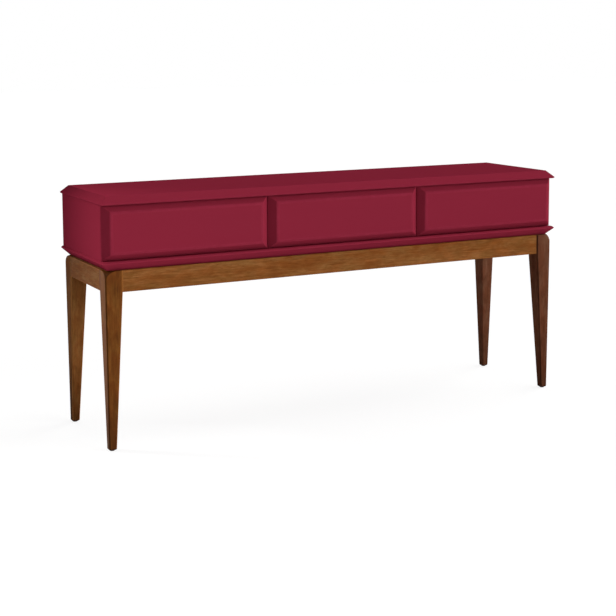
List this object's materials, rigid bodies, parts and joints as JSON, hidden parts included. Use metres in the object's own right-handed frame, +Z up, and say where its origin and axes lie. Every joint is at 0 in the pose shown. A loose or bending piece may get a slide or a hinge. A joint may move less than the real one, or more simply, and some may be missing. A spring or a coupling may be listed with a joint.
{
  "type": "console table",
  "caption": "Long console table: handle-less drawers with bevelled fronts slide out between two chamfered lacquered slabs, on a wooden base with tapered legs.",
  "frame": {"origin": "on the floor, under the middle of the table", "axes": "+X to the right seen from the front, along the table; +Y from the front to the back; +Z up"},
  "size_m": [1.712, 0.42, 0.8],
  "materials": {
    "red_lacquer": "satin crimson lacquer on fibreboard",
    "stained_wood": "satin varnish on brown stained hardwood",
    "birch": "clear varnish on pale plywood",
    "slide_steel": "zinc plated sheet",
    "zinc_screws": "zinc plated",
    "glide_plastic": "dark brown nylon",
    "buffer_rubber": "clear soft buffer"
  },
  "bodies": {
    "case": {"top_panel": "red_lacquer", "bottom_panel": "red_lacquer", "left_end_panel": "red_lacquer", "right_end_panel": "red_lacquer", "left_partition": "red_lacquer", "right_partition": "red_lacquer", "back_panel": "red_lacquer", "case_dowels": "birch", "back_panel_screws": "zinc_screws", "front_left_leg": "stained_wood", "front_right_leg": "stained_wood", "back_left_leg": "stained_wood", "back_right_leg": "stained_wood", "front_apron": "stained_wood", "back_apron": "stained_wood", "left_apron": "stained_wood", "right_apron": "stained_wood", "corner_blocks": "stained_wood", "block_screws": "zinc_screws", "case_screws": "zinc_screws", "foot_glides": "glide_plastic", "slide_case_screws": "zinc_screws", "slide_outer_1": "slide_steel", "slide_outer_2": "slide_steel", "slide_outer_3": "slide_steel"},
    "drawer_1": {"drawer_front_1": "red_lacquer", "drawer_left_side_1": "birch", "drawer_right_side_1": "birch", "drawer_back_1": "birch", "drawer_bottom_1": "birch", "drawer_dowels_1": "birch", "drawer_slide_screws_1": "zinc_screws", "drawer_buffers_1": "buffer_rubber", "slide_inner_1": "slide_steel"},
    "slide_carriage_1": {"slide_middle_1": "slide_steel", "slide_cages_1": "slide_steel"},
    "drawer_2": {"drawer_front_2": "red_lacquer", "drawer_left_side_2": "birch", "drawer_right_side_2": "birch", "drawer_back_2": "birch", "drawer_bottom_2": "birch", "drawer_dowels_2": "birch", "drawer_slide_screws_2": "zinc_screws", "drawer_buffers_2": "buffer_rubber", "slide_inner_2": "slide_steel"},
    "slide_carriage_2": {"slide_middle_2": "slide_steel", "slide_cages_2": "slide_steel"},
    "drawer_3": {"drawer_front_3": "red_lacquer", "drawer_left_side_3": "birch", "drawer_right_side_3": "birch", "drawer_back_3": "birch", "drawer_bottom_3": "birch", "drawer_dowels_3": "birch", "drawer_slide_screws_3": "zinc_screws", "drawer_buffers_3": "buffer_rubber", "slide_inner_3": "slide_steel"},
    "slide_carriage_3": {"slide_middle_3": "slide_steel", "slide_cages_3": "slide_steel"}
  },
  "joints": [
    {"name": "drawer_1_slide", "type": "slide", "parent": "case", "child": "drawer_1", "axis": [0, -1, 0], "range_m": [0, 0.3]},
    {"name": "slide_carriage_1_slide", "type": "slide", "parent": "case", "child": "slide_carriage_1", "axis": [0, -1, 0], "range_m": [0, 0.15]},
    {"name": "drawer_2_slide", "type": "slide", "parent": "case", "child": "drawer_2", "axis": [0, -1, 0], "range_m": [0, 0.3]},
    {"name": "slide_carriage_2_slide", "type": "slide", "parent": "case", "child": "slide_carriage_2", "axis": [0, -1, 0], "range_m": [0, 0.15]},
    {"name": "drawer_3_slide", "type": "slide", "parent": "case", "child": "drawer_3", "axis": [0, -1, 0], "range_m": [0, 0.3]},
    {"name": "slide_carriage_3_slide", "type": "slide", "parent": "case", "child": "slide_carriage_3", "axis": [0, -1, 0], "range_m": [0, 0.15]}
  ],
  "couplings": [
    {"joint": "slide_carriage_1_slide", "follows": "drawer_1_slide", "ratio": 0.5},
    {"joint": "slide_carriage_2_slide", "follows": "drawer_2_slide", "ratio": 0.5},
    {"joint": "slide_carriage_3_slide", "follows": "drawer_3_slide", "ratio": 0.5}
  ]
}
